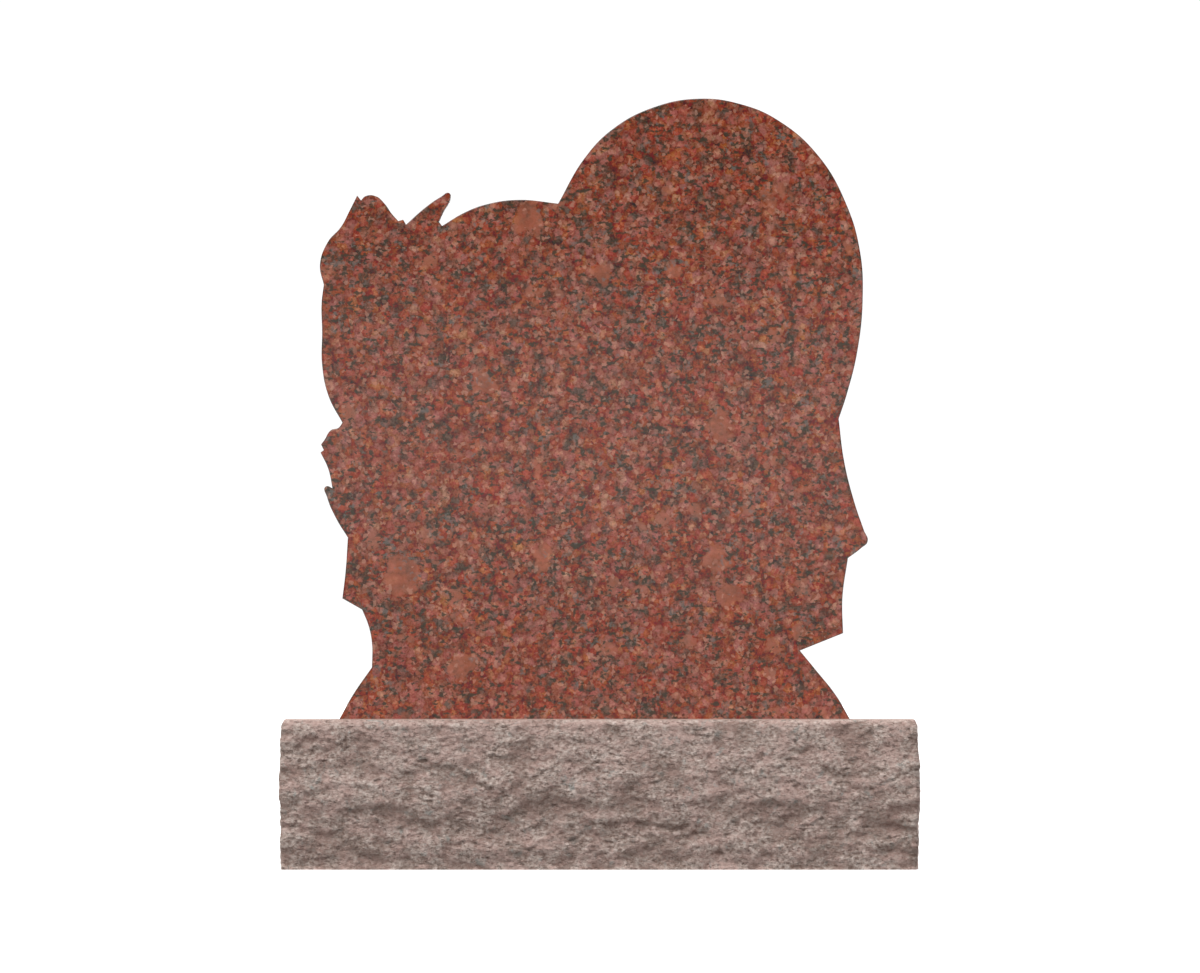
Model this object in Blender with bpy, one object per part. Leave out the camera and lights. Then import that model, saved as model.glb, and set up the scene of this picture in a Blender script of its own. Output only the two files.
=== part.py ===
"""Heart headstone: a polished red granite tablet on a rock-faced granite base.

The tablet is one slab sawn to an outline: two lobes of a heart at the top, a
rose spray down the left edge, a scroll on the right edge and a flared foot.
It stands by its own weight on a block whose four sides are pitched to rock.
Metres, +Z up, the front looks along -Y, the origin is under the middle of the
base, on the ground.
"""

import math

import bmesh
import bpy
import numpy as np
from mathutils import Vector, noise

# Base block, measured along its pitched top line
BASE_WIDTH = 0.855
BASE_DEPTH = 0.305
BASE_HEIGHT = 0.203

# Tablet: its middle stands a little left of the base's middle
TABLET_WIDTH = 0.744
TABLET_HEIGHT = 0.8433
TABLET_THICKNESS = 0.152
TABLET_OFF_MIDDLE = -0.0077
SEAT_GAP = 0.0003
ARRIS = 0.0012
OUTLINE_STEPS = 4
WELD = 0.00005
SHARP_ANGLE = math.radians(35)

# Rock face: how far it swells out of the pitched top line
FRONT_SWELL = 0.018
END_SWELL = 0.0066
CREST_WANDER = 0.012
CREST_LENGTH = 0.200
PITCH_WAVER = 0.0012
WAVER_PLACE = Vector((3.0, 7.0, 1.0))

# Scallops of the rock face: shallow waves crossed by finer, sharper ridges
FRONT_SCALLOP = 0.0042
END_SCALLOP = 0.0010
SCALLOP_LENGTH = 0.120
SCALLOP_HEIGHT = 0.046
WAVE_SHARE = 0.9
RIDGE_SHARE = 0.5
RIDGES_PER_WAVE = 1.7
RIDGE_PLACE = Vector((5.3, 9.1, 2.7))

# Spacing of the mesh on the rock face
GRID_LENGTH = 0.020
GRID_HEIGHT = 0.011

# Upright profile of the rock face: share of the base's height, share of the swell
ROCK_PROFILE = (
    (0.00, 0.52),
    (0.14, 0.92),
    (0.27, 0.72),
    (0.45, 1.00),
    (0.60, 0.94),
    (0.80, 0.72),
    (0.91, 0.60),
    (0.965, 0.50),
    (1.00, 0.00),
)

# Ledges broken across the long faces, each with a hollow under it. Both ends are
# percent of the base's width from its middle and percent of its height.
LEDGE_SOFTNESS = 0.006
LEDGE_REACH = 0.030
LEDGE_FADE = 0.018
LEDGES = (
    ((-29.0, 75.0), (-17.5, 57.0), 0.0063),
    ((-43.5, 38.0), (-34.5, 42.0), 0.0049),
    ((-34.5, 42.0), (-21.8, 31.0), 0.0042),
    ((-15.0, 38.0), (-5.0, 47.5), 0.0035),
    ((-4.0, 29.0), (2.5, 34.0), 0.0035),
    ((7.2, 31.5), (14.8, 31.0), 0.0070),
    ((14.8, 58.0), (22.7, 55.0), 0.0028),
    ((27.5, 44.5), (38.5, 39.5), 0.0056),
    ((38.5, 39.5), (49.0, 29.0), 0.0063),
    ((40.5, 74.5), (44.0, 76.0), 0.0035),
    ((-14.5, 85.0), (-10.5, 89.0), 0.0028),
    ((-49.0, 84.5), (-44.0, 87.5), 0.0035),
    ((-46.0, 14.0), (-34.0, 11.5), 0.0028),
    ((-25.0, 14.0), (-11.0, 14.0), 0.0021),
)

# Outline of the tablet, clockwise from its left foot, feature by feature:
# percent of the width, percent of the height, and how the edge passes the point
CORNER = "VECTOR"
ROUND = "AUTO"

LEFT_FOOT = (
    (3.5, 0.0, CORNER),
    (6.2, 4.2, ROUND),
    (9.5, 8.4, CORNER),
    (9.5, 12.2, ROUND),
    (8.9, 15.0, ROUND),
    (7.7, 17.7, CORNER),
    (4.1, 19.5, CORNER),
    (4.7, 24.0, ROUND),
    (5.1, 29.3, CORNER),
)
THORN = (
    (3.0, 32.3, ROUND),
    (1.3, 35.8, ROUND),
    (1.0, 37.5, ROUND),
    (2.3, 37.2, CORNER),
)
SEPALS = (
    (1.5, 40.4, ROUND),
    (0.1, 43.0, CORNER),
    (0.7, 43.4, CORNER),
    (0.2, 44.3, CORNER),
    (0.8, 45.0, ROUND),
    (2.0, 46.6, ROUND),
    (3.4, 47.0, ROUND),
    (4.1, 47.8, CORNER),
)
ROSE = (
    (1.6, 52.0, ROUND),
    (0.4, 57.0, ROUND),
    (0.4, 62.4, ROUND),
    (0.3, 67.0, ROUND),
    (0.7, 70.0, CORNER),
    (0.0, 73.2, ROUND),
    (1.5, 77.0, ROUND),
    (3.8, 79.3, ROUND),
    (5.5, 82.1, ROUND),
    (6.8, 84.4, CORNER),
)
BUD = (
    (7.5, 83.6, CORNER),
    (8.3, 84.3, ROUND),
    (10.2, 84.3, ROUND),
    (11.8, 83.1, ROUND),
    (13.0, 81.6, ROUND),
    (14.3, 80.3, CORNER),
    (15.2, 80.5, CORNER),
    (15.7, 79.7, CORNER),
)
LEAF = (
    (19.3, 82.5, ROUND),
    (22.1, 84.2, ROUND),
    (23.6, 84.8, ROUND),
    (23.8, 84.0, ROUND),
    (22.5, 81.7, ROUND),
    (21.7, 80.2, CORNER),
    (22.3, 79.5, CORNER),
)
SMALL_LOBE = (
    (26.5, 81.7, ROUND),
    (30.5, 83.0, ROUND),
    (36.3, 83.7, ROUND),
    (43.5, 83.1, CORNER),
)
TALL_LOBE = (
    (48.3, 90.4, ROUND),
    (53.3, 95.0, ROUND),
    (60.9, 98.6, ROUND),
    (69.4, 100.0, ROUND),
    (76.9, 99.1, ROUND),
    (83.5, 96.6, ROUND),
    (91.0, 90.8, ROUND),
    (96.1, 83.0, ROUND),
    (98.6, 75.4, ROUND),
    (99.1, 68.0, ROUND),
    (98.2, 59.7, ROUND),
    (96.2, 52.4, ROUND),
    (94.7, 48.4, CORNER),
)
SCROLL = (
    (95.7, 41.6, ROUND),
    (97.6, 34.9, ROUND),
    (99.3, 30.5, ROUND),
    (100.0, 28.7, ROUND),
    (98.8, 27.6, ROUND),
    (96.4, 26.0, CORNER),
    (95.4, 19.6, ROUND),
    (95.5, 13.9, CORNER),
    (87.6, 11.1, CORNER),
)
RIGHT_FOOT = (
    (90.5, 8.0, ROUND),
    (94.2, 3.9, ROUND),
    (96.8, 0.0, CORNER),
)
TABLET_OUTLINE = (
    LEFT_FOOT + THORN + SEPALS + ROSE + BUD + LEAF
    + SMALL_LOBE + TALL_LOBE + SCROLL + RIGHT_FOOT
)


def clear_scene():
    for thing in list(bpy.data.objects):
        bpy.data.objects.remove(thing, do_unlink=True)


def linear(channel):
    if channel <= 0.04045:
        return channel / 12.92
    return ((channel + 0.055) / 1.055) ** 2.4


def stone_material(name, colour, roughness):
    """A plain stone from an sRGB hex colour and a roughness."""
    channels = [int(colour[i:i + 2], 16) / 255 for i in (0, 2, 4)]
    material = bpy.data.materials.new(name)
    material.use_nodes = True
    shader = material.node_tree.nodes["Principled BSDF"]
    shader.inputs["Base Color"].default_value = (*[linear(c) for c in channels], 1.0)
    shader.inputs["Roughness"].default_value = roughness
    shader.inputs["Metallic"].default_value = 0.0
    return material


def outline_curve():
    """The tablet's outline as a flat curve, extruded to the slab's thickness."""
    curve = bpy.data.curves.new("tablet_outline", "CURVE")
    curve.dimensions = "2D"
    curve.fill_mode = "BOTH"
    curve.extrude = TABLET_THICKNESS / 2
    curve.resolution_u = OUTLINE_STEPS
    curve.render_resolution_u = OUTLINE_STEPS
    spline = curve.splines.new("BEZIER")
    spline.bezier_points.add(len(TABLET_OUTLINE) - 1)
    for point, (across, up, passing) in zip(spline.bezier_points, TABLET_OUTLINE):
        x = (across / 100 - 0.5) * TABLET_WIDTH
        y = up / 100 * TABLET_HEIGHT
        point.co = (x, y, 0.0)
        point.handle_left_type = passing
        point.handle_right_type = passing
    spline.use_cyclic_u = True
    return curve


def solid_from_curve(curve, name):
    """A closed mesh of the extruded curve, with whole caps and eased arrises."""
    drawing = bpy.data.objects.new("drawing", curve)
    bpy.context.scene.collection.objects.link(drawing)
    evaluated = drawing.evaluated_get(bpy.context.evaluated_depsgraph_get())
    mesh = bpy.data.meshes.new_from_object(evaluated)
    mesh.name = name
    bpy.data.objects.remove(drawing)
    bm = bmesh.new()
    bm.from_mesh(mesh)
    bmesh.ops.remove_doubles(bm, verts=bm.verts, dist=WELD)
    for side in (1, -1):
        cap = [face for face in bm.faces if face.normal.z * side > 0.5]
        bmesh.ops.dissolve_faces(bm, faces=cap)
    arrises = [edge for edge in bm.edges if edge.verts[0].co.z * edge.verts[1].co.z > 0]
    bmesh.ops.bevel(
        bm, geom=arrises, affect="EDGES", offset=ARRIS, segments=1, profile=0.5,
        material=-1, clamp_overlap=False)
    bm.to_mesh(mesh)
    bm.free()
    return mesh


def heart_tablet(collection, parent):
    """The slab, stood upright on the base."""
    mesh = solid_from_curve(outline_curve(), "heart_tablet")
    mesh.materials.append(stone_material("polished red granite", "83553F", 0.18))
    tablet = place_object("heart_tablet", mesh, collection, parent)
    tablet.location = (TABLET_OFF_MIDDLE, 0.0, BASE_HEIGHT + SEAT_GAP)
    tablet.rotation_euler = (math.radians(90), 0.0, 0.0)
    return tablet


def scallops(place):
    """Shallow dishes with ridges between them, longer than they are high."""
    stretch = Vector((1 / SCALLOP_LENGTH, 1 / SCALLOP_LENGTH, 1 / SCALLOP_HEIGHT))
    stretched = place * stretch
    waves = noise.noise(stretched)
    ridges = 1.0 - 2.0 * abs(noise.noise(stretched * RIDGES_PER_WAVE + RIDGE_PLACE))
    return WAVE_SHARE * waves + RIDGE_SHARE * ridges


def swell_share(place):
    """Share of the full swell at a height, on a crest that wanders up and down."""
    height = place.z / BASE_HEIGHT
    wander = CREST_WANDER / BASE_HEIGHT * noise.noise(place / CREST_LENGTH)
    heights, shares = zip(*ROCK_PROFILE)
    return float(np.interp(height + wander * math.sin(math.pi * height), heights, shares))


def ledge_hollow(along, up):
    """Depth of the hollows under the ledges, at a place on a long face."""
    hollow = 0.0
    for (left, left_up), (right, right_up), depth in LEDGES:
        start = left / 100 * BASE_WIDTH
        stop = right / 100 * BASE_WIDTH
        share = min(max((along - start) / (stop - start), 0.0), 1.0)
        line = (left_up + share * (right_up - left_up)) / 100 * BASE_HEIGHT
        beyond = max(start - along, along - stop, 0.0)
        under = 0.5 - 0.5 * math.tanh((up - line) / LEDGE_SOFTNESS)
        reach = math.exp(min(up - line, 0.0) / LEDGE_REACH)
        hollow += depth * under * reach * math.exp(-(beyond / LEDGE_FADE) ** 2)
    return hollow


def rock_offset(place, swell, scallop, hollow):
    """How far a point of the sawn block moves outwards to lie on the rock face."""
    share = swell_share(place)
    waver = PITCH_WAVER * noise.noise(place / SCALLOP_HEIGHT + WAVER_PLACE)
    below_pitch = min(2.0 * share, 1.0)
    return share * (swell + scallop * scallops(place)) - below_pitch * hollow + waver


def on_side(coordinate, size):
    return abs(abs(coordinate) - size / 2) < WELD


def sawn_block():
    """The block before its sides are pitched: gridded sides, whole top and bottom."""
    sizes = (BASE_WIDTH, BASE_DEPTH, BASE_HEIGHT)
    bm = bmesh.new()
    bmesh.ops.create_cube(bm, size=1.0)
    bmesh.ops.scale(bm, vec=sizes, verts=bm.verts)
    bmesh.ops.translate(bm, vec=(0.0, 0.0, BASE_HEIGHT / 2), verts=bm.verts)
    for axis, spacing in enumerate((GRID_LENGTH, GRID_LENGTH, GRID_HEIGHT)):
        along = []
        for edge in bm.edges:
            run = edge.verts[0].co - edge.verts[1].co
            if abs(run[axis]) > sizes[axis] / 2:
                along.append(edge)
        cuts = max(2, round(sizes[axis] / spacing)) - 1
        bmesh.ops.subdivide_edges(bm, edges=along, cuts=cuts)
    for level in (0.0, BASE_HEIGHT):
        bed = [face for face in bm.faces if abs(face.calc_center_median().z - level) < WELD]
        bmesh.ops.dissolve_faces(bm, faces=bed)
    return bm


def rock_faced_base(collection, parent):
    """The block with its four sides pushed out to a pitched rock face."""
    bm = sawn_block()
    for vert in bm.verts:
        place = vert.co.copy()
        if on_side(place.x, BASE_WIDTH):
            out = rock_offset(place, END_SWELL, END_SCALLOP, 0.0)
            vert.co.x += math.copysign(out, place.x)
        if on_side(place.y, BASE_DEPTH):
            facing = -math.copysign(1.0, place.y)
            hollow = ledge_hollow(place.x * facing, place.z)
            out = rock_offset(place, FRONT_SWELL, FRONT_SCALLOP, hollow)
            vert.co.y += math.copysign(out, place.y)
    mesh = bpy.data.meshes.new("rock_faced_base")
    bm.to_mesh(mesh)
    bm.free()
    mesh.materials.append(stone_material("rock-faced granite", "917F78", 0.85))
    return place_object("rock_faced_base", mesh, collection, parent)


def place_object(name, mesh, collection, parent):
    mesh.shade_smooth()
    mesh.set_sharp_from_angle(angle=SHARP_ANGLE)
    thing = bpy.data.objects.new(name, mesh)
    thing.parent = parent
    collection.objects.link(thing)
    return thing


def build():
    clear_scene()
    collection = bpy.data.collections.new("heart headstone")
    bpy.context.scene.collection.children.link(collection)
    headstone = bpy.data.objects.new("heart_headstone", None)
    collection.objects.link(headstone)
    rock_faced_base(collection, headstone)
    heart_tablet(collection, headstone)


build()
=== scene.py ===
"""Looks of the heart headstone: a polished red granite tablet on a rock-faced base."""

import math

import bmesh
import bpy
import numpy as np
from mathutils import Matrix, Vector, noise


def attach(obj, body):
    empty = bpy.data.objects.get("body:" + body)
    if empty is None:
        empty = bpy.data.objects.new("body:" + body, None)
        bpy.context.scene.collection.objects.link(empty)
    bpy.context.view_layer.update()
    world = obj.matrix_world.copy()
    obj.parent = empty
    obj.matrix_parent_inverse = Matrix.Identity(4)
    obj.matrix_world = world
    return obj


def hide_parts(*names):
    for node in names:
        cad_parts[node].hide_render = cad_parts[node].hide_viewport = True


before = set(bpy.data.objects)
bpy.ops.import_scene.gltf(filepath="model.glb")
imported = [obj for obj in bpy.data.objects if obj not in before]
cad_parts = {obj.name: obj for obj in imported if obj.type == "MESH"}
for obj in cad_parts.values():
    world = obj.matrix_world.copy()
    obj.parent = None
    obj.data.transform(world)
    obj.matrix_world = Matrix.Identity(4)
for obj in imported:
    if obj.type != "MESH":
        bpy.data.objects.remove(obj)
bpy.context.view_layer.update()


# Rock-faced base. A sawn granite block whose four sides are pitched by hand:
# the rock breaks away under the top line in shallow dishes and low ledges, and
# stands proud of the line all round. The top and the underside are left sawn.
BASE_WIDTH = 0.855
BASE_DEPTH = 0.305
BASE_HEIGHT = 0.203
BASE_SIZE = (BASE_WIDTH, BASE_DEPTH, BASE_HEIGHT)

# Points this close to a face count as on it
TOUCH = 0.00001

# Spacing of the mesh on the rock face
ROCK_GRID_LENGTH = 0.0027
ROCK_GRID_HEIGHT = 0.0020

# How far the rock swells out of the pitched top line, and how its crest and the line wander
FRONT_SWELL = 0.018
END_SWELL = 0.0066
CREST_WANDER = 0.012
CREST_LENGTH = 0.200
PITCH_WAVER = 0.0012
WAVER_PLACE = Vector((3.0, 7.0, 1.0))

# Scallops: shallow waves crossed by finer, sharper ridges
FRONT_SCALLOP = 0.0042
END_SCALLOP = 0.0010
SCALLOP_LENGTH = 0.120
SCALLOP_HEIGHT = 0.046
WAVE_SHARE = 0.9
RIDGE_SHARE = 0.5
RIDGES_PER_WAVE = 1.7
RIDGE_PLACE = Vector((5.3, 9.1, 2.7))

# Upright profile of the rock face: share of the base's height, share of the swell
ROCK_PROFILE = (
    (0.00, 0.52), (0.14, 0.92), (0.27, 0.72), (0.45, 1.00), (0.60, 0.94),
    (0.80, 0.72), (0.91, 0.60), (0.965, 0.50), (0.984, 0.26), (1.00, 0.00),
)

# Hollows and roughness reach full depth at a half and a third of the full swell
HOLLOW_ONSET = 2.0
ROUGH_ONSET = 3.0

# Ledges broken across the long faces, each with a hollow under it. Both ends are
# percent of the base's width from its middle and percent of its height.
LEDGE_SOFTNESS = 0.003
LEDGE_REACH = 0.030
LEDGE_FADE = 0.018
LEDGES = (
    ((-29.0, 75.0), (-17.5, 57.0), 0.0063),
    ((-43.5, 38.0), (-34.5, 42.0), 0.0049),
    ((-34.5, 42.0), (-21.8, 31.0), 0.0042),
    ((-15.0, 38.0), (-5.0, 47.5), 0.0035),
    ((-4.0, 29.0), (2.5, 34.0), 0.0035),
    ((7.2, 31.5), (14.8, 31.0), 0.0070),
    ((14.8, 58.0), (22.7, 55.0), 0.0028),
    ((27.5, 44.5), (38.5, 39.5), 0.0056),
    ((38.5, 39.5), (49.0, 29.0), 0.0063),
    ((40.5, 74.5), (44.0, 76.0), 0.0035),
    ((-14.5, 85.0), (-10.5, 89.0), 0.0028),
    ((-49.0, 84.5), (-44.0, 87.5), 0.0035),
    ((-46.0, 14.0), (-34.0, 11.5), 0.0028),
    ((-25.0, 14.0), (-11.0, 14.0), 0.0021),
)

# Breaks in the ledges: their lines step up and down, and their hollows bite more or less deep
BREAK_LENGTH = 0.028
BREAK_HEIGHT = 0.014
LEDGE_STEP = 0.010
STEP_PLACE = 4.7
BITE = 0.8
BITE_SPREAD = 1.3
LEAST_BITE = 0.2
BITE_PLACE = 9.2

# Flakes of the fracture: length, height, depth and place in the noise, each half the last
FLAKES = (
    (0.0600, 0.0400, 0.0024, Vector((1.7, 4.2, 8.8))),
    (0.0300, 0.0200, 0.0023, Vector((6.1, 2.9, 3.3))),
    (0.0150, 0.0105, 0.0014, Vector((9.4, 5.5, 1.1))),
    (0.0078, 0.0056, 0.0013, Vector((2.2, 7.9, 5.0))),
    (0.0043, 0.0032, 0.0012, Vector((8.3, 1.6, 6.4))),
)
PIT_START = -0.20
PIT_DEPTH = 1.5

# Lips where one flake ends on the next, one above the other. What bends them is given
# as turns, length, height and place in the noise. They stand in patches.
LIP_DEPTH = 0.0028
LIP_RISE = 0.021
LIP_SHARPNESS = 0.13
LIP_BENDS = (
    (1.8, 0.070, 0.045, Vector((0.0, 0.0, 3.1))),
    (0.8, 0.018, 0.012, Vector((0.0, 0.0, 7.7))),
)
LIP_PATCH = (0.020, 0.014, Vector((0.0, 0.0, 5.2)))
LIP_PATCH_EDGE = 2.6
LIP_PATCH_SHARE = 0.20

# Flakes hang down a little, but not at the foot, which stays flat on the ground
FLAKE_LEAN = 0.35
LEAN_FADE = 0.020

# The ends are less rough, with ledges taken from this far along the faces
END_SHARE = 0.5
END_LEDGE_SHARE = 0.8
END_LEDGES_FROM = 0.170

# Shade is painted dark into places this deep, and less under a ledge than in a pit
HOLLOW_SHADE_DEPTH = 0.0024
LEDGE_SHADE_SHARE = 0.6


def between(value, low, high):
    return min(max(value, low), high)


def scallops(place):
    """Shallow dishes with ridges between them, longer than they are high."""
    stretch = Vector((1 / SCALLOP_LENGTH, 1 / SCALLOP_LENGTH, 1 / SCALLOP_HEIGHT))
    stretched = place * stretch
    waves = noise.noise(stretched)
    ridges = 1.0 - 2.0 * abs(noise.noise(stretched * RIDGES_PER_WAVE + RIDGE_PLACE))
    return WAVE_SHARE * waves + RIDGE_SHARE * ridges


def swell_share(place):
    """Share of the full swell at a height, on a crest that wanders up and down."""
    height = place.z / BASE_HEIGHT
    wander = CREST_WANDER / BASE_HEIGHT * noise.noise(place / CREST_LENGTH)
    heights, shares = zip(*ROCK_PROFILE)
    return float(np.interp(height + wander * math.sin(math.pi * height), heights, shares))


def breaks(along, up, where):
    """Noise along a long face, at the size of the breaks in its ledges."""
    return noise.noise(Vector((along / BREAK_LENGTH, up / BREAK_HEIGHT, where)))


def ledge_hollow(along, up):
    """Depth of the hollows under the ledges, at a place on a long face."""
    up += LEDGE_STEP * breaks(along, up, STEP_PLACE)
    bite = BITE + BITE_SPREAD * breaks(along, up, BITE_PLACE)
    hollow = 0.0
    for (left, left_up), (right, right_up), depth in LEDGES:
        start = left / 100 * BASE_WIDTH
        stop = right / 100 * BASE_WIDTH
        share = between((along - start) / (stop - start), 0.0, 1.0)
        line = (left_up + share * (right_up - left_up)) / 100 * BASE_HEIGHT
        beyond = max(start - along, along - stop, 0.0)
        under = 0.5 - 0.5 * math.tanh((up - line) / LEDGE_SOFTNESS)
        reach = math.exp(min(up - line, 0.0) / LEDGE_REACH)
        hollow += depth * under * reach * math.exp(-(beyond / LEDGE_FADE) ** 2)
    return hollow * max(bite, LEAST_BITE)


def rough_noise(place, length, rise, where):
    """Noise whose features are this long and this high, in metres."""
    return noise.noise(Vector((place.x / length, place.y / length, place.z / rise)) + where)


def flakes(place):
    """Broken flakes at five sizes, as a fracture is rough at every size, with deeper pits."""
    height = 0.0
    for length, rise, depth, where in FLAKES:
        lift = rough_noise(place, length, rise, where)
        height += depth * (lift - PIT_DEPTH * max(PIT_START - lift, 0.0))
    return height


def lips(place):
    """Thin lips where one flake ends on the next: a sharp step out, then a slow slope back."""
    turn = place.z / LIP_RISE
    for turns, length, rise, where in LIP_BENDS:
        turn += turns * rough_noise(place, length, rise, where)
    turn %= 1.0
    step = turn / LIP_SHARPNESS if turn < LIP_SHARPNESS else (1 - turn) / (1 - LIP_SHARPNESS)
    kept = LIP_PATCH_EDGE * rough_noise(place, *LIP_PATCH) + LIP_PATCH_SHARE
    return LIP_DEPTH * between(kept, 0.0, 1.0) * (step - 0.5)


def rock_offset(place, swell, scallop, hollow):
    """How far a point of the sawn block moves outwards to lie on the rock face."""
    share = swell_share(place)
    waver = PITCH_WAVER * noise.noise(place / SCALLOP_HEIGHT + WAVER_PLACE)
    below_pitch = min(HOLLOW_ONSET * share, 1.0)
    return share * (swell + scallop * scallops(place)) - below_pitch * hollow + waver


def on_side(coordinate, size):
    return abs(abs(coordinate) - size / 2) < TOUCH


# The sawn block, with its sides gridded and its top and underside left open
bm = bmesh.new()
bmesh.ops.create_cube(bm, size=1.0)
bmesh.ops.scale(bm, vec=BASE_SIZE, verts=bm.verts)
bmesh.ops.translate(bm, vec=(0.0, 0.0, BASE_HEIGHT / 2), verts=bm.verts)
level = [face for face in bm.faces if abs(face.normal.z) > 0.5]
bmesh.ops.delete(bm, geom=level, context="FACES_ONLY")
for axis, spacing in enumerate((ROCK_GRID_LENGTH, ROCK_GRID_LENGTH, ROCK_GRID_HEIGHT)):
    along = []
    for edge in bm.edges:
        run = edge.verts[0].co - edge.verts[1].co
        if abs(run[axis]) > BASE_SIZE[axis] / 2:
            along.append(edge)
    bmesh.ops.subdivide_edges(bm, edges=along, cuts=round(BASE_SIZE[axis] / spacing) - 1)

# The four sides are pitched. The back has the front's ledges turned round.
sunken = bm.verts.layers.float.new("sunken")
for vert in bm.verts:
    place = vert.co.copy()
    rough = (flakes(place) + lips(place)) * min(ROUGH_ONSET * swell_share(place), 1.0)
    hollow = 0.0
    if on_side(place.x, BASE_WIDTH):
        facing = math.copysign(1.0, place.x)
        hollow = END_LEDGE_SHARE * ledge_hollow(facing * (END_LEDGES_FROM + place.y), place.z)
        out = rock_offset(place, END_SWELL, END_SCALLOP, hollow) + END_SHARE * rough
        vert.co.x += math.copysign(out, place.x)
    if on_side(place.y, BASE_DEPTH):
        facing = -math.copysign(1.0, place.y)
        hollow = ledge_hollow(place.x * facing, place.z)
        out = rock_offset(place, FRONT_SWELL, FRONT_SCALLOP, hollow) + rough
        vert.co.y += math.copysign(out, place.y)
    vert.co.z -= FLAKE_LEAN * rough * min(place.z / LEAN_FADE, 1.0)
    # How deep a place lies, which sets the shade painted into the hollows and under the ledges
    depth = (LEDGE_SHADE_SHARE * hollow - rough) / HOLLOW_SHADE_DEPTH
    vert[sunken] = between(0.5 + 0.5 * depth, 0.0, 1.0)

# The sawn top and underside close it, with sharp rims
rims = [edge for edge in bm.edges if edge.is_boundary]
sawn = bm.faces.layers.float.new("sawn")
for face in bmesh.ops.holes_fill(bm, edges=rims, sides=0)["faces"]:
    face[sawn] = 1.0
bmesh.ops.recalc_face_normals(bm, faces=bm.faces)
for face in bm.faces:
    face.smooth = True
for edge in rims:
    edge.smooth = False
rock_mesh = bpy.data.meshes.new("rock_face")
bm.to_mesh(rock_mesh)
bm.free()
rock = bpy.data.objects.new("rock_faced_block", rock_mesh)
bpy.context.scene.collection.objects.link(rock)

# Grain of the split granite, in metres. Single crystals are too fine to show in the
# render, so they are drawn as clusters of this size. The grain lies flat.
SPLIT_CRYSTALS = 0.0055
SPLIT_PATCHES = 0.024
SPLIT_QUARTZ = 0.016
SPLIT_MICA = 0.0080
SPLIT_GRIT = 0.0042
SPLIT_GRIT_HEIGHT = 0.0046
SPLIT_FLATNESS = 1.35
SPLIT_MICA_FLATNESS = 2.2

SPLIT_TONES = ((0.34, "8E776D"), (0.50, "C3AEA4"), (0.66, "E2D2C9"))
SPLIT_PINK = "C6A39A"
SPLIT_QUARTZ_GREY = "98A39F"
SPLIT_MICA_BROWN = "5E4C42"
# Brown of the shade painted into the hollows
HOLLOW_SHADE_BROWN = "7C6357"

# The pitching tool bruises the stone along the top line, with a painted highlight there too, and the
# foot is painted paler as light from the floor: by share of the height, from black for unchanged
# stone to white for paled, and how much paler paled stone is
BRUISE_AND_PAINTED_LIGHT = ((0.010, "E0E0E0"), (0.070, "000000"), (0.970, "000000"), (0.995, "808080"))
BRUISE_AND_LIGHT_PALING = 0.50


def linear(colour):
    """sRGB hex to the linear values that shaders use."""
    channels = []
    for i in (0, 2, 4):
        c = int(colour[i:i + 2], 16) / 255
        channels.append(c / 12.92 if c <= 0.04045 else ((c + 0.055) / 1.055) ** 2.4)
    return (*channels, 1.0)


def add_node(tree, kind, inputs=None, stops=None, **settings):
    """Adds a node, sets its properties, ramp stops and sockets, and links what is a socket."""
    made = tree.nodes.new(kind)
    for name, value in settings.items():
        setattr(made, name, value)
    if stops:
        ramp = made.color_ramp.elements
        while len(ramp) < len(stops):
            ramp.new(1.0)
        for element, (position, colour) in zip(ramp, stops):
            element.position = position
            element.color = linear(colour)
    for key, value in (inputs or {}).items():
        socket = next(s for s in made.inputs if key in (s.identifier, s.name))
        if isinstance(value, bpy.types.NodeSocket):
            tree.links.new(value, socket)
        else:
            socket.default_value = value
    return made


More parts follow.
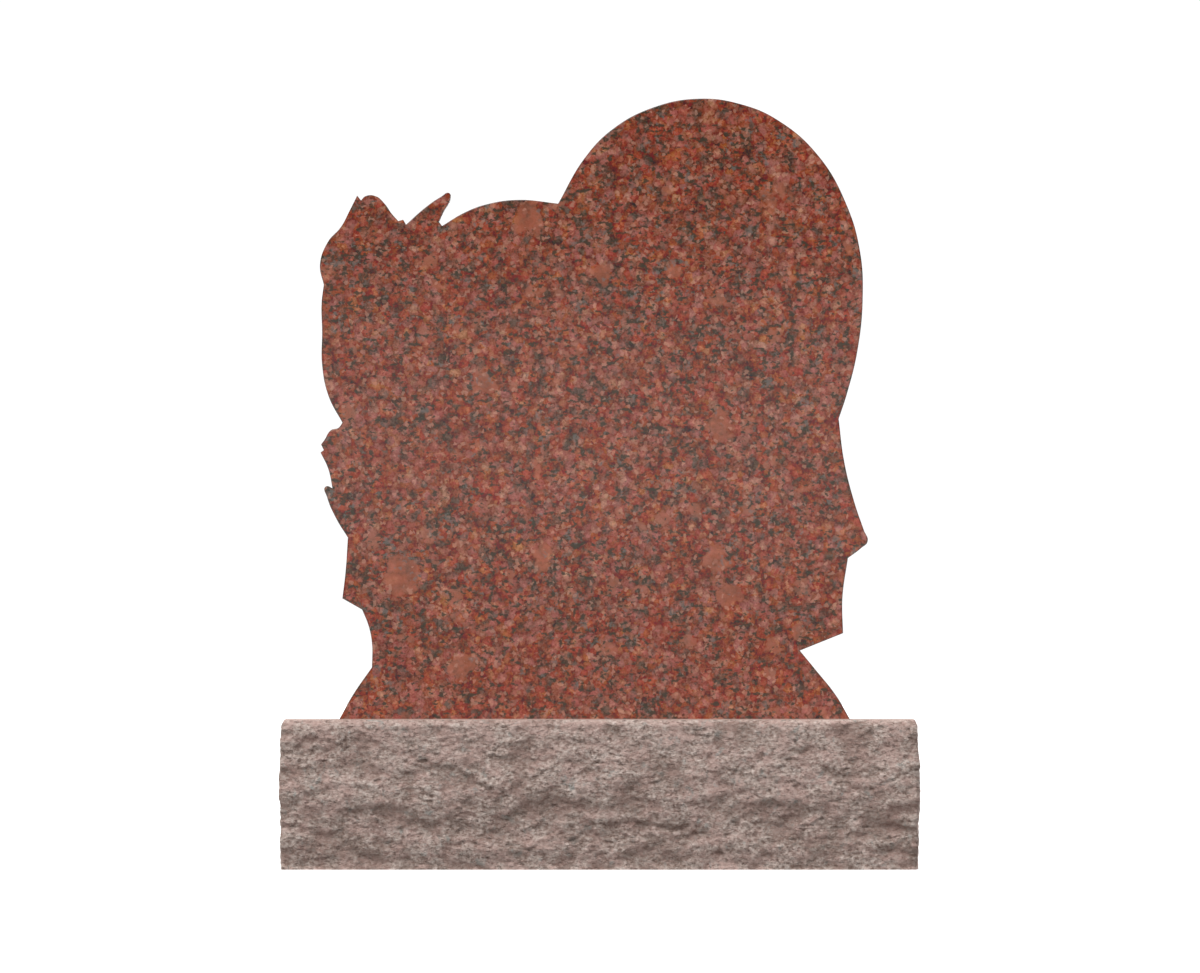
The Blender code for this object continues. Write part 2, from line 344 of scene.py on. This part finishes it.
def rock_face_granite():
    """Split granite: crushed crystals scatter the light, so it is greyer and matt, not glossy."""
    material = bpy.data.materials.new("split granite")
    material.use_nodes = True
    tree = material.node_tree
    shader = tree.nodes["Principled BSDF"]
    spot = add_node(tree, "ShaderNodeTexCoord").outputs["Object"]

    # Crushed crystals from grey brown to near white
    flat = add_node(tree, "ShaderNodeMapping", {
        "Vector": spot, "Scale": (1.0, 1.0, SPLIT_FLATNESS)}).outputs[0]
    crystals = add_node(tree, "ShaderNodeTexNoise", {
        "Vector": flat, "Scale": 1 / SPLIT_CRYSTALS, "Detail": 4.0, "Roughness": 0.6})
    tone = add_node(tree, "ShaderNodeValToRGB", {"Fac": crystals.outputs["Fac"]}, stops=SPLIT_TONES)

    # Pink feldspar in patches
    patch = add_node(tree, "ShaderNodeTexNoise", {
        "Vector": spot, "Scale": 1 / SPLIT_PATCHES, "Detail": 3.0})
    share = add_node(tree, "ShaderNodeMapRange", {
        "Value": patch.outputs["Fac"], "From Min": 0.42, "From Max": 0.60, "To Max": 0.55})
    pinked = add_node(tree, "ShaderNodeMix", {
        "Factor_Float": share.outputs[0], "A_Color": tone.outputs[0],
        "B_Color": linear(SPLIT_PINK)}, data_type="RGBA")

    # Grey quartz
    quartz = add_node(tree, "ShaderNodeTexNoise", {
        "Vector": spot, "Scale": 1 / SPLIT_QUARTZ, "Detail": 3.0, "Roughness": 0.6})
    glassy = add_node(tree, "ShaderNodeMapRange", {
        "Value": quartz.outputs["Fac"], "From Min": 0.60, "From Max": 0.72, "To Max": 0.6})
    flecked = add_node(tree, "ShaderNodeMix", {
        "Factor_Float": glassy.outputs[0], "A_Color": pinked.outputs[2],
        "B_Color": linear(SPLIT_QUARTZ_GREY)}, data_type="RGBA")

    # Dark mica in short flat streaks
    streak = add_node(tree, "ShaderNodeMapping", {
        "Vector": spot, "Scale": (1.0, 1.0, SPLIT_MICA_FLATNESS)}).outputs[0]
    mica = add_node(tree, "ShaderNodeTexNoise", {
        "Vector": streak, "Scale": 1 / SPLIT_MICA, "Detail": 4.0, "Roughness": 0.65})
    dark = add_node(tree, "ShaderNodeMapRange", {
        "Value": mica.outputs["Fac"], "From Min": 0.57, "From Max": 0.62, "To Max": 0.62})
    micaed = add_node(tree, "ShaderNodeMix", {
        "Factor_Float": dark.outputs[0], "A_Color": flecked.outputs[2],
        "B_Color": linear(SPLIT_MICA_BROWN)}, data_type="RGBA")

    # Painted shade in the hollows and under the ledges, from the mesh's own attribute
    sunken = add_node(tree, "ShaderNodeAttribute", attribute_name="sunken")
    hollow_shade = add_node(tree, "ShaderNodeMapRange", {
        "Value": sunken.outputs["Fac"], "From Min": 0.50, "From Max": 1.0, "To Max": 0.44})
    shaded_hollows = add_node(tree, "ShaderNodeMix", {
        "Factor_Float": hollow_shade.outputs[0], "A_Color": micaed.outputs[2],
        "B_Color": linear(HOLLOW_SHADE_BROWN)}, data_type="RGBA")

    # The pitched line is bruised pale and painted with a highlight, and the foot is painted pale as
    # light from the floor
    up = add_node(tree, "ShaderNodeSeparateXYZ", {"Vector": spot}).outputs["Z"]
    rise = add_node(tree, "ShaderNodeMath", {
        "Value": up, "Value_001": BASE_HEIGHT}, operation="DIVIDE")
    bruise_and_light = add_node(tree, "ShaderNodeValToRGB", {"Fac": rise.outputs[0]}, stops=BRUISE_AND_PAINTED_LIGHT)
    paling = add_node(tree, "ShaderNodeMath", {
        "Value": bruise_and_light.outputs[0], "Value_001": BRUISE_AND_LIGHT_PALING, "Value_002": 1.0},
        operation="MULTIPLY_ADD")
    bruised_and_lit = add_node(tree, "ShaderNodeVectorMath", {
        "Vector": shaded_hollows.outputs[2], "Scale": paling.outputs[0]}, operation="SCALE")
    tree.links.new(bruised_and_lit.outputs[0], shader.inputs["Base Color"])

    # Grit on the split faces, hardly any on the sawn ones
    grit = add_node(tree, "ShaderNodeTexNoise", {
        "Vector": flat, "Scale": 1 / SPLIT_GRIT, "Detail": 4.0, "Roughness": 0.6})
    cut = add_node(tree, "ShaderNodeAttribute", attribute_name="sawn")
    broken = add_node(tree, "ShaderNodeMath", {
        "Value": cut.outputs["Fac"], "Value_001": -0.9, "Value_002": 1.0}, operation="MULTIPLY_ADD")
    bump = add_node(tree, "ShaderNodeBump", {
        "Height": grit.outputs["Fac"], "Strength": broken.outputs[0], "Distance": SPLIT_GRIT_HEIGHT})
    tree.links.new(bump.outputs[0], shader.inputs["Normal"])
    shader.inputs["Roughness"].default_value = 0.85
    return material


rock_mesh.materials.append(rock_face_granite())
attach(rock, "root")
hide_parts("rock_faced_base")


# Polished tablet. One slab of red granite, sawn to the outline by wire saw and
# polished on its faces and its edge, with the arrises eased by a hand pad. It
# is set on the base in a thin bed and stands by its own weight.
TABLET_WIDTH = 0.744
TABLET_HEIGHT = 0.8433
TABLET_THICKNESS = 0.152
TABLET_OFF_MIDDLE = -0.0077
SEAT_GAP = 0.0003
TABLET_FOOT = BASE_HEIGHT + SEAT_GAP
ARRIS = 0.0012
ARRIS_STEPS = 3
OUTLINE_STEPS = 10
WELD = 0.00005
SHARP_ANGLE = math.radians(32)
FACING_Y = 0.999

# Outline, clockwise from the left foot, feature by feature: percent of the width,
# percent of the height, and how the edge passes the point
CORNER = "VECTOR"
ROUND = "AUTO"
LEFT_FOOT = (
    (3.5, 0.0, CORNER), (6.2, 4.2, ROUND), (9.5, 8.4, CORNER), (9.5, 12.2, ROUND),
    (8.9, 15.0, ROUND), (7.7, 17.7, CORNER), (4.1, 19.5, CORNER), (4.7, 24.0, ROUND),
    (5.1, 29.3, CORNER),
)
THORN = ((3.0, 32.3, ROUND), (1.3, 35.8, ROUND), (1.0, 37.5, ROUND), (2.3, 37.2, CORNER))
SEPALS = (
    (1.5, 40.4, ROUND), (0.1, 43.0, CORNER), (0.7, 43.4, CORNER), (0.2, 44.3, CORNER),
    (0.8, 45.0, ROUND), (2.0, 46.6, ROUND), (3.4, 47.0, ROUND), (4.1, 47.8, CORNER),
)
ROSE = (
    (1.6, 52.0, ROUND), (0.4, 57.0, ROUND), (0.4, 62.4, ROUND), (0.3, 67.0, ROUND),
    (0.7, 70.0, CORNER), (0.0, 73.2, ROUND), (1.5, 77.0, ROUND), (3.8, 79.3, ROUND),
    (5.5, 82.1, ROUND), (6.8, 84.4, CORNER),
)
BUD = (
    (7.5, 83.6, CORNER), (8.3, 84.3, ROUND), (10.2, 84.3, ROUND), (11.8, 83.1, ROUND),
    (13.0, 81.6, ROUND), (14.3, 80.3, CORNER), (15.2, 80.5, CORNER), (15.7, 79.7, CORNER),
)
LEAF = (
    (19.3, 82.5, ROUND), (22.1, 84.2, ROUND), (23.6, 84.8, ROUND), (23.8, 84.0, ROUND),
    (22.5, 81.7, ROUND), (21.7, 80.2, CORNER), (22.3, 79.5, CORNER),
)
SMALL_LOBE = ((26.5, 81.7, ROUND), (30.5, 83.0, ROUND), (36.3, 83.7, ROUND), (43.5, 83.1, CORNER))
TALL_LOBE = (
    (48.3, 90.4, ROUND), (53.3, 95.0, ROUND), (60.9, 98.6, ROUND), (69.4, 100.0, ROUND),
    (76.9, 99.1, ROUND), (83.5, 96.6, ROUND), (91.0, 90.8, ROUND), (96.1, 83.0, ROUND),
    (98.6, 75.4, ROUND), (99.1, 68.0, ROUND), (98.2, 59.7, ROUND), (96.2, 52.4, ROUND),
    (94.7, 48.4, CORNER),
)
SCROLL = (
    (95.7, 41.6, ROUND), (97.6, 34.9, ROUND), (99.3, 30.5, ROUND), (100.0, 28.7, ROUND),
    (98.8, 27.6, ROUND), (96.4, 26.0, CORNER), (95.4, 19.6, ROUND), (95.5, 13.9, CORNER),
    (87.6, 11.1, CORNER),
)
RIGHT_FOOT = ((90.5, 8.0, ROUND), (94.2, 3.9, ROUND), (96.8, 0.0, CORNER))
TABLET_OUTLINE = (
    LEFT_FOOT + THORN + SEPALS + ROSE + BUD + LEAF
    + SMALL_LOBE + TALL_LOBE + SCROLL + RIGHT_FOOT
)

# The outline as one flat curve, filled
curve = bpy.data.curves.new("tablet_outline", "CURVE")
curve.dimensions = "2D"
curve.fill_mode = "BOTH"
curve.resolution_u = OUTLINE_STEPS
curve.render_resolution_u = OUTLINE_STEPS
spline = curve.splines.new("BEZIER")
spline.bezier_points.add(len(TABLET_OUTLINE) - 1)
for point, (across, up, passing) in zip(spline.bezier_points, TABLET_OUTLINE):
    point.co = ((across / 100 - 0.5) * TABLET_WIDTH, up / 100 * TABLET_HEIGHT, 0.0)
    point.handle_left_type = passing
    point.handle_right_type = passing
spline.use_cyclic_u = True
drawing = bpy.data.objects.new("drawing", curve)
bpy.context.scene.collection.objects.link(drawing)
evaluated = drawing.evaluated_get(bpy.context.evaluated_depsgraph_get())
tablet_mesh = bpy.data.meshes.new_from_object(evaluated)
tablet_mesh.name = "polished_tablet"
bpy.data.objects.remove(drawing)

# Stood upright on the base and given its thickness
bm = bmesh.new()
bm.from_mesh(tablet_mesh)
bmesh.ops.remove_doubles(bm, verts=bm.verts, dist=WELD)
front = bmesh.ops.dissolve_faces(bm, faces=bm.faces)["region"][0]
upright = Matrix.Rotation(math.radians(90), 3, "X")
bmesh.ops.rotate(bm, verts=bm.verts, cent=(0.0, 0.0, 0.0), matrix=upright)
bmesh.ops.translate(
    bm, verts=bm.verts, vec=(TABLET_OFF_MIDDLE, -TABLET_THICKNESS / 2, TABLET_FOOT))
extruded = bmesh.ops.extrude_face_region(bm, geom=[front], use_keep_orig=True)["geom"]
back = [part for part in extruded if isinstance(part, bmesh.types.BMVert)]
bmesh.ops.translate(bm, verts=back, vec=(0.0, TABLET_THICKNESS, 0.0))
bmesh.ops.recalc_face_normals(bm, faces=bm.faces)

# The arrises of the front and the back are eased, but not along the foot
arrises = []
for edge in bm.edges:
    along_a_face = edge.verts[0].co.y * edge.verts[1].co.y > 0
    if along_a_face and max(vert.co.z for vert in edge.verts) > TABLET_FOOT + TOUCH:
        arrises.append(edge)
eased = bm.faces.layers.float.new("eased")
bevelled = bmesh.ops.bevel(
    bm, geom=arrises, affect="EDGES", offset=ARRIS, segments=ARRIS_STEPS, profile=0.5,
    material=-1, clamp_overlap=False)
for face in bevelled["faces"]:
    face[eased] = 1.0
for face in bm.faces:
    face.smooth = True
for edge in bm.edges:
    flat = any(abs(face.normal.y) > FACING_Y for face in edge.link_faces)
    edge.smooth = not flat and edge.calc_face_angle(0.0) < SHARP_ANGLE
bm.to_mesh(tablet_mesh)
bm.free()
tablet = bpy.data.objects.new("polished_tablet", tablet_mesh)
bpy.context.scene.collection.objects.link(tablet)

# Grain of the polished granite, in metres. Crystals are packed at two sizes, and the specks
# inside them are too fine to show in the render, so they are drawn this coarse.
POLISHED_CRYSTALS = 0.0108
POLISHED_CHIPS = 0.0043
POLISHED_SPECKS = 0.0028
CRYSTAL_BEND_LENGTH = 0.006
CRYSTAL_BEND = 0.0045
FELDSPAR_SHADING = 0.018
LARGE_FELDSPARS = 0.085
MIDDLING_FELDSPARS = 0.036
TORN_LENGTH = 0.022
TORN_DEPTH = 0.040
MICA_SWARMS = 0.028
POLISHED_MICA = 0.0095
POLISHED_MICA_FLATNESS = 1.5
POLISHED_QUARTZ = 0.0080
# Height of the pale line painted along the foot
PALE_FOOT_LINE = 0.0014

FELDSPAR_TONES = (
    (0.50, "543927"), (0.62, "783D25"), (0.71, "934728"),
    (0.80, "95402B"), (0.89, "9E5233"), (1.00, "AD6F4D"),
)
LARGE_FELDSPAR_PINK = "A65C41"
MIDDLING_FELDSPAR_PINK = "AC6850"
POLISHED_MICA_BLACK = "322B16"
SMOKY_QUARTZ = "78706A"
PALE_FLECK = "C68E77"
# Colour of the pale line painted along the foot
PALE_FOOT_COLOUR = "DCC4B9"
# How much darker the arrises are painted, as painted shade
ARRIS_PAINTED_SHADE = 0.45


def polished_granite():
    """Polished granite: dense crystals cut flat, so the colours are deep under a clear gloss."""
    material = bpy.data.materials.new("polished red granite")
    material.use_nodes = True
    tree = material.node_tree
    shader = tree.nodes["Principled BSDF"]
    spot = add_node(tree, "ShaderNodeTexCoord").outputs["Object"]

    # Crystals at two sizes, with bent edges
    wobble = add_node(tree, "ShaderNodeTexNoise", {
        "Vector": spot, "Scale": 1 / CRYSTAL_BEND_LENGTH, "Detail": 2.0})
    bent = add_node(tree, "ShaderNodeVectorMath", {
        "Vector": wobble.outputs["Color"], "Vector_001": 3 * (CRYSTAL_BEND,), "Vector_002": spot},
        operation="MULTIPLY_ADD").outputs[0]
    crystals = add_node(tree, "ShaderNodeTexVoronoi", {
        "Vector": bent, "Scale": 1 / POLISHED_CRYSTALS})
    coarse = add_node(tree, "ShaderNodeSeparateColor", {"Color": crystals.outputs["Color"]})
    chips = add_node(tree, "ShaderNodeTexVoronoi", {"Vector": bent, "Scale": 1 / POLISHED_CHIPS})
    fine = add_node(tree, "ShaderNodeSeparateColor", {"Color": chips.outputs["Color"]})

    # Brick reds of the feldspar, a tone to each crystal and each chip
    patch = add_node(tree, "ShaderNodeTexNoise", {
        "Vector": spot, "Scale": 1 / FELDSPAR_SHADING, "Detail": 4.0})
    large_sort = add_node(tree, "ShaderNodeMath", {
        "Value": coarse.outputs[0], "Value_001": 0.25, "Value_002": patch.outputs["Fac"]},
        operation="MULTIPLY_ADD")
    sort = add_node(tree, "ShaderNodeMath", {
        "Value": fine.outputs[1], "Value_001": 0.22, "Value_002": large_sort.outputs[0]},
        operation="MULTIPLY_ADD")
    feldspar = add_node(tree, "ShaderNodeValToRGB", {"Fac": sort.outputs[0]}, stops=FELDSPAR_TONES)
    tint = add_node(tree, "ShaderNodeMapRange", {
        "Value": coarse.outputs[1], "To Min": 0.492, "To Max": 0.506})
    depth = add_node(tree, "ShaderNodeMapRange", {
        "Value": coarse.outputs[2], "To Min": 0.86, "To Max": 1.13})
    varied = add_node(tree, "ShaderNodeHueSaturation", {
        "Hue": tint.outputs[0], "Saturation": depth.outputs[0], "Color": feldspar.outputs[0]})

    # Specks and paler middles: the bright parts of a crystal are also a little hazier
    grit = add_node(tree, "ShaderNodeTexNoise", {
        "Vector": spot, "Scale": 1 / POLISHED_SPECKS, "Detail": 4.0, "Roughness": 0.65})
    sparkle = add_node(tree, "ShaderNodeMath", {
        "Value": fine.outputs[0], "Value_001": 0.30, "Value_002": grit.outputs["Fac"]},
        operation="MULTIPLY_ADD")
    domed = add_node(tree, "ShaderNodeMath", {
        "Value": crystals.outputs["Distance"], "Value_001": -0.40, "Value_002": 0.20},
        operation="MULTIPLY_ADD")
    gleam = add_node(tree, "ShaderNodeMath", {
        "Value": sparkle.outputs[0], "Value_001": 0.9, "Value_002": domed.outputs[0]},
        operation="MULTIPLY_ADD")
    light = add_node(tree, "ShaderNodeMapRange", {
        "Value": gleam.outputs[0], "From Min": 0.34, "From Max": 0.84,
        "To Min": 0.66, "To Max": 1.36})
    lit = add_node(tree, "ShaderNodeVectorMath", {
        "Vector": varied.outputs[0], "Scale": light.outputs[0]}, operation="SCALE")
    haze = add_node(tree, "ShaderNodeMapRange", {
        "Value": gleam.outputs[0], "From Min": 0.34, "From Max": 0.84,
        "To Min": -0.037, "To Max": 0.040}, clamp=False)
    ground = add_node(tree, "ShaderNodeVectorMath", {
        "Vector": lit.outputs[0], "Vector_001": haze.outputs[0]}, operation="ADD")

    # Large feldspars with torn edges, dappled within
    tear = add_node(tree, "ShaderNodeTexNoise", {
        "Vector": spot, "Scale": 1 / TORN_LENGTH, "Detail": 3.0})
    torn = add_node(tree, "ShaderNodeVectorMath", {
        "Vector": tear.outputs["Color"], "Vector_001": 3 * (TORN_DEPTH,), "Vector_002": spot},
        operation="MULTIPLY_ADD").outputs[0]
    large = add_node(tree, "ShaderNodeTexVoronoi", {"Vector": torn, "Scale": 1 / LARGE_FELDSPARS})
    chosen = add_node(tree, "ShaderNodeSeparateColor", {"Color": large.outputs["Color"]})
    reach = add_node(tree, "ShaderNodeMath", {
        "Value": chosen.outputs[0], "Value_001": 0.35, "Value_002": large.outputs["Distance"]},
        operation="MULTIPLY_ADD")
    inside = add_node(tree, "ShaderNodeMapRange", {
        "Value": reach.outputs[0], "From Min": 0.34, "From Max": 0.30, "To Max": 0.72})
    dapple = add_node(tree, "ShaderNodeMapRange", {
        "Value": patch.outputs["Fac"], "From Min": 0.35, "From Max": 0.65,
        "To Min": 0.80, "To Max": 1.28})
    dappled = add_node(tree, "ShaderNodeVectorMath", {
        "Vector": linear(LARGE_FELDSPAR_PINK)[:3], "Scale": dapple.outputs[0]}, operation="SCALE")
    phenocrysts = add_node(tree, "ShaderNodeMix", {
        "Factor_Float": inside.outputs[0], "A_Color": ground.outputs[0],
        "B_Color": dappled.outputs[0]}, data_type="RGBA")

    # Middling feldspars
    middling = add_node(tree, "ShaderNodeTexVoronoi", {
        "Vector": torn, "Scale": 1 / MIDDLING_FELDSPARS})
    picked = add_node(tree, "ShaderNodeSeparateColor", {"Color": middling.outputs["Color"]})
    extent = add_node(tree, "ShaderNodeMath", {
        "Value": picked.outputs[0], "Value_001": 0.5, "Value_002": middling.outputs["Distance"]},
        operation="MULTIPLY_ADD")
    within = add_node(tree, "ShaderNodeMapRange", {
        "Value": extent.outputs[0], "From Min": 0.38, "From Max": 0.31, "To Max": 0.6})
    pink = add_node(tree, "ShaderNodeMix", {
        "Factor_Float": within.outputs[0], "A_Color": phenocrysts.outputs[2],
        "B_Color": linear(MIDDLING_FELDSPAR_PINK)}, data_type="RGBA")

    # Black mica in loose swarms, with little of it in the large feldspars
    swarm = add_node(tree, "ShaderNodeTexNoise", {
        "Vector": spot, "Scale": 1 / MICA_SWARMS, "Detail": 2.0})
    flat = add_node(tree, "ShaderNodeMapping", {
        "Vector": spot, "Scale": (1.0, 1.0, POLISHED_MICA_FLATNESS)}).outputs[0]
    mica = add_node(tree, "ShaderNodeTexNoise", {
        "Vector": flat, "Scale": 1 / POLISHED_MICA, "Detail": 3.0, "Roughness": 0.55})
    gathered = add_node(tree, "ShaderNodeMath", {
        "Value": swarm.outputs["Fac"], "Value_001": 0.35, "Value_002": mica.outputs["Fac"]},
        operation="MULTIPLY_ADD")
    dark = add_node(tree, "ShaderNodeMapRange", {
        "Value": gathered.outputs[0], "From Min": 0.735, "From Max": 0.790, "To Max": 0.90})
    clear = add_node(tree, "ShaderNodeMath", {
        "Value": inside.outputs[0], "Value_001": -1.0, "Value_002": 1.0}, operation="MULTIPLY_ADD")
    dark_share = add_node(tree, "ShaderNodeMath", {
        "Value": dark.outputs[0], "Value_001": clear.outputs[0]}, operation="MULTIPLY")
    micaed = add_node(tree, "ShaderNodeMix", {
        "Factor_Float": dark_share.outputs[0], "A_Color": pink.outputs[2],
        "B_Color": linear(POLISHED_MICA_BLACK)}, data_type="RGBA")

    # Smoky quartz beside the mica, and a few pale chips
    quartz = add_node(tree, "ShaderNodeTexNoise", {
        "Vector": spot, "Scale": 1 / POLISHED_QUARTZ, "Detail": 3.0, "Roughness": 0.6})
    beside = add_node(tree, "ShaderNodeMath", {
        "Value": swarm.outputs["Fac"], "Value_001": 0.5, "Value_002": quartz.outputs["Fac"]},
        operation="MULTIPLY_ADD")
    glassy = add_node(tree, "ShaderNodeMapRange", {
        "Value": beside.outputs[0], "From Min": 0.88, "From Max": 0.96, "To Max": 0.6})
    quartzed = add_node(tree, "ShaderNodeMix", {
        "Factor_Float": glassy.outputs[0], "A_Color": micaed.outputs[2],
        "B_Color": linear(SMOKY_QUARTZ)}, data_type="RGBA")
    pale = add_node(tree, "ShaderNodeMapRange", {
        "Value": fine.outputs[2], "From Min": 0.92, "From Max": 0.95, "To Max": 0.50})
    flecked = add_node(tree, "ShaderNodeMix", {
        "Factor_Float": pale.outputs[0], "A_Color": quartzed.outputs[2],
        "B_Color": linear(PALE_FLECK)}, data_type="RGBA")

    # A pale line painted along the foot
    up = add_node(tree, "ShaderNodeSeparateXYZ", {"Vector": spot}).outputs["Z"]
    foot_line = add_node(tree, "ShaderNodeMapRange", {
        "Value": up, "From Min": BASE_HEIGHT + PALE_FOOT_LINE, "From Max": BASE_HEIGHT + PALE_FOOT_LINE / 2})
    foot_lined = add_node(tree, "ShaderNodeMix", {
        "Factor_Float": foot_line.outputs[0], "A_Color": flecked.outputs[2],
        "B_Color": linear(PALE_FOOT_COLOUR)}, data_type="RGBA")

    # The arrises, eased by hand, are painted darker than the faces as painted shade along the edges.
    # The mesh's own attribute marks them.
    edge = add_node(tree, "ShaderNodeAttribute", attribute_name="eased")
    shade = add_node(tree, "ShaderNodeMath", {
        "Value": edge.outputs["Fac"], "Value_001": -ARRIS_PAINTED_SHADE, "Value_002": 1.0},
        operation="MULTIPLY_ADD")
    shaded = add_node(tree, "ShaderNodeVectorMath", {
        "Vector": foot_lined.outputs[2], "Scale": shade.outputs[0]}, operation="SCALE")
    tree.links.new(shaded.outputs[0], shader.inputs["Base Color"])
    shader.inputs["Roughness"].default_value = 0.14
    shader.inputs["IOR"].default_value = 1.5
    return material


tablet_mesh.materials.append(polished_granite())
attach(tablet, "root")
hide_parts("heart_tablet")


# Floor, light and camera. A white floor that runs out of sight under a white
# sky, one soft sun from the front left, a weaker one from the back right, and
# one low panel in front that the polish mirrors at the foot.
FLOOR_SIDE = 90.0
FLOOR_GLOW = 0.35
bm = bmesh.new()
bmesh.ops.create_grid(bm, x_segments=1, y_segments=1, size=FLOOR_SIDE / 2)
floor_mesh = bpy.data.meshes.new("floor")
bm.to_mesh(floor_mesh)
bm.free()
floor = bpy.data.objects.new("floor", floor_mesh)
bpy.context.scene.collection.objects.link(floor)
pale = bpy.data.materials.new("pale floor")
pale.use_nodes = True
shader = pale.node_tree.nodes["Principled BSDF"]
shader.inputs["Base Color"].default_value = linear("FBFBFA")
shader.inputs["Roughness"].default_value = 0.9
shader.inputs["Emission Color"].default_value = (1.0, 1.0, 1.0, 1.0)
shader.inputs["Emission Strength"].default_value = FLOOR_GLOW
floor_mesh.materials.append(pale)
floor.visible_diffuse = False

# The sky is white to the camera, but lights the stone less, and least from the horizon
SKY_SEEN = 1.05
SKY_LOW = 0.26
SKY_HIGH = 0.65
world = bpy.data.worlds.new("studio")
bpy.context.scene.world = world
world.use_nodes = True
tree = world.node_tree
sky = tree.nodes["Background"]
sky.inputs["Color"].default_value = (1.0, 1.0, 1.0, 1.0)
way = add_node(tree, "ShaderNodeTexCoord").outputs["Generated"]
upward = add_node(tree, "ShaderNodeSeparateXYZ", {"Vector": way}).outputs["Z"]
steep = add_node(tree, "ShaderNodeMath", {"Value": upward}, operation="ABSOLUTE").outputs[0]
glow = add_node(tree, "ShaderNodeMapRange", {"Value": steep, "To Min": SKY_LOW, "To Max": SKY_HIGH})
seen = add_node(tree, "ShaderNodeLightPath").outputs["Is Camera Ray"]
strength = add_node(tree, "ShaderNodeMix", {
    "Factor_Float": seen, "A_Float": glow.outputs[0], "B_Float": SKY_SEEN}, data_type="FLOAT")
tree.links.new(strength.outputs[0], sky.inputs["Strength"])

# Both suns: name, degrees above the horizon, degrees turned, strength
SUN_SPREAD = math.radians(50)
SUNS = (
    ("soft_daylight", 55, -38, 2.2),
    ("soft_back_light", 38, 148, 1.3),
)
for name, up, turn, energy in SUNS:
    sun = bpy.data.lights.new(name, "SUN")
    sun.energy = energy
    sun.angle = SUN_SPREAD
    holder = bpy.data.objects.new(name, sun)
    holder.rotation_euler = (math.radians(90 - up), 0.0, math.radians(turn))
    bpy.context.scene.collection.objects.link(holder)

# The low panel, which the camera itself doesn't see
PANEL_WIDTH = 4.0
PANEL_HEIGHT = 0.40
PANEL_POWER = 3.4
PANEL_PLACE = (0.0, -3.0, 0.60)
panel = bpy.data.lights.new("low_panel", "AREA")
panel.shape = "RECTANGLE"
panel.size = PANEL_WIDTH
panel.size_y = PANEL_HEIGHT
panel.energy = PANEL_POWER
holder = bpy.data.objects.new("low_panel", panel)
holder.location = PANEL_PLACE
holder.rotation_euler = (math.radians(90), 0.0, 0.0)
holder.visible_camera = False
bpy.context.scene.collection.objects.link(holder)

# A level camera far in front. The scale is metres to a pixel at the base's front face.
IMAGE_WIDTH = 1200
SCALE_AT_FRONT = 0.0013565
CAMERA_DISTANCE = 60.0
CAMERA_HEIGHT = 0.5198
CAMERA_ACROSS = 0.0007
SENSOR = 36.0
camera_data = bpy.data.cameras.new("camera")
camera_data.sensor_width = SENSOR
camera_data.lens = SENSOR * CAMERA_DISTANCE / (IMAGE_WIDTH * SCALE_AT_FRONT)
camera_data.clip_end = 300.0
camera = bpy.data.objects.new("camera", camera_data)
camera.location = (CAMERA_ACROSS, -BASE_DEPTH / 2 - CAMERA_DISTANCE, CAMERA_HEIGHT)
camera.rotation_euler = (math.radians(90), 0.0, 0.0)
bpy.context.scene.collection.objects.link(camera)
bpy.context.scene.camera = camera
bpy.context.scene.view_settings.view_transform = "Standard"
